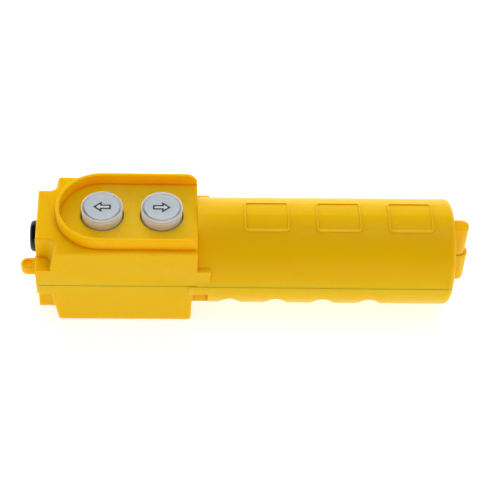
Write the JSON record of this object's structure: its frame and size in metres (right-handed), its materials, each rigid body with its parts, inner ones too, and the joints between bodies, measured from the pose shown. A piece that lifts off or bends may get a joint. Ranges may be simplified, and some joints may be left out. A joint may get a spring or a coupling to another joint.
{
  "type": "pendant control station",
  "caption": "Hand-held pendant switch box with a square head, push-buttons inside a guard rim, and a round grip with finger grooves.",
  "frame": {"origin": "middle of the footprint on the plane that the station lies on", "axes": "+X along the grip, from the cable end towards the strap lug; +Z the way the buttons face; +Y across the head; the station is mirror-symmetric about the plane y = 0"},
  "size_m": [0.2314, 0.0546, 0.0584],
  "materials": {
    "housing_yellow": "fine moulded texture, semi-matt",
    "gasket_rubber": "matt",
    "sleeve_rubber": "satin",
    "zinc_steel": "zinc plated",
    "brass": "turned",
    "clamp_plastic": "matt",
    "carrier_plastic": "matt",
    "plunger_grey": "satin",
    "legend_face": "printed disc",
    "cap_clear": "clear polished plastic",
    "seal_rubber": "matt",
    "spring_steel": "bright wire",
    "block_plastic": "matt",
    "actuator_plastic": "matt",
    "contact_brass": "stamped"
  },
  "bodies": {
    "housing": {"front_housing": "housing_yellow", "rear_housing": "housing_yellow", "housing_gasket": "gasket_rubber", "housing_screws": "zinc_steel", "housing_inserts": "brass", "cable_sleeve": "sleeve_rubber", "cable_clamp": "clamp_plastic", "clamp_saddle": "clamp_plastic", "cable_clamp_screws": "zinc_steel", "switch_carrier": "carrier_plastic", "carrier_screws": "zinc_steel", "button_guide_up": "carrier_plastic", "button_spring_up": "spring_steel", "contact_block_up": "block_plastic", "fixed_contacts_up": "contact_brass", "terminal_screws_up": "zinc_steel", "actuator_spring_up": "spring_steel", "button_guide_down": "carrier_plastic", "button_spring_down": "spring_steel", "contact_block_down": "block_plastic", "fixed_contacts_down": "contact_brass", "terminal_screws_down": "zinc_steel", "actuator_spring_down": "spring_steel"},
    "up_button": {"button_plunger_up": "plunger_grey", "button_legend_up": "legend_face", "button_cap_up": "cap_clear", "button_seal_up": "seal_rubber"},
    "up_actuator": {"contact_actuator_up": "actuator_plastic", "contact_bridge_up": "contact_brass"},
    "down_button": {"button_plunger_down": "plunger_grey", "button_legend_down": "legend_face", "button_cap_down": "cap_clear", "button_seal_down": "seal_rubber"},
    "down_actuator": {"contact_actuator_down": "actuator_plastic", "contact_bridge_down": "contact_brass"}
  },
  "joints": [
    {"name": "up_button_push", "type": "slide", "parent": "housing", "child": "up_button", "axis": [0, 0, -1], "range_m": [0, 0.004], "stiffness_N_per_m": 500, "springref_m": -0.005, "deforming": ["button_spring_up"]},
    {"name": "down_button_push", "type": "slide", "parent": "housing", "child": "down_button", "axis": [0, 0, -1], "range_m": [0, 0.004], "stiffness_N_per_m": 500, "springref_m": -0.005, "deforming": ["button_spring_down"]},
    {"name": "up_contact_push", "type": "slide", "parent": "housing", "child": "up_actuator", "axis": [0, 0, -1], "range_m": [0, 0.004], "stiffness_N_per_m": 150, "springref_m": -0.004, "deforming": ["actuator_spring_up"]},
    {"name": "down_contact_push", "type": "slide", "parent": "housing", "child": "down_actuator", "axis": [0, 0, -1], "range_m": [0, 0.004], "stiffness_N_per_m": 150, "springref_m": -0.004, "deforming": ["actuator_spring_down"]}
  ],
  "couplings": [
    {"joint": "up_contact_push", "follows": "up_button_push", "ratio": 1},
    {"joint": "down_contact_push", "follows": "down_button_push", "ratio": 1}
  ]
}
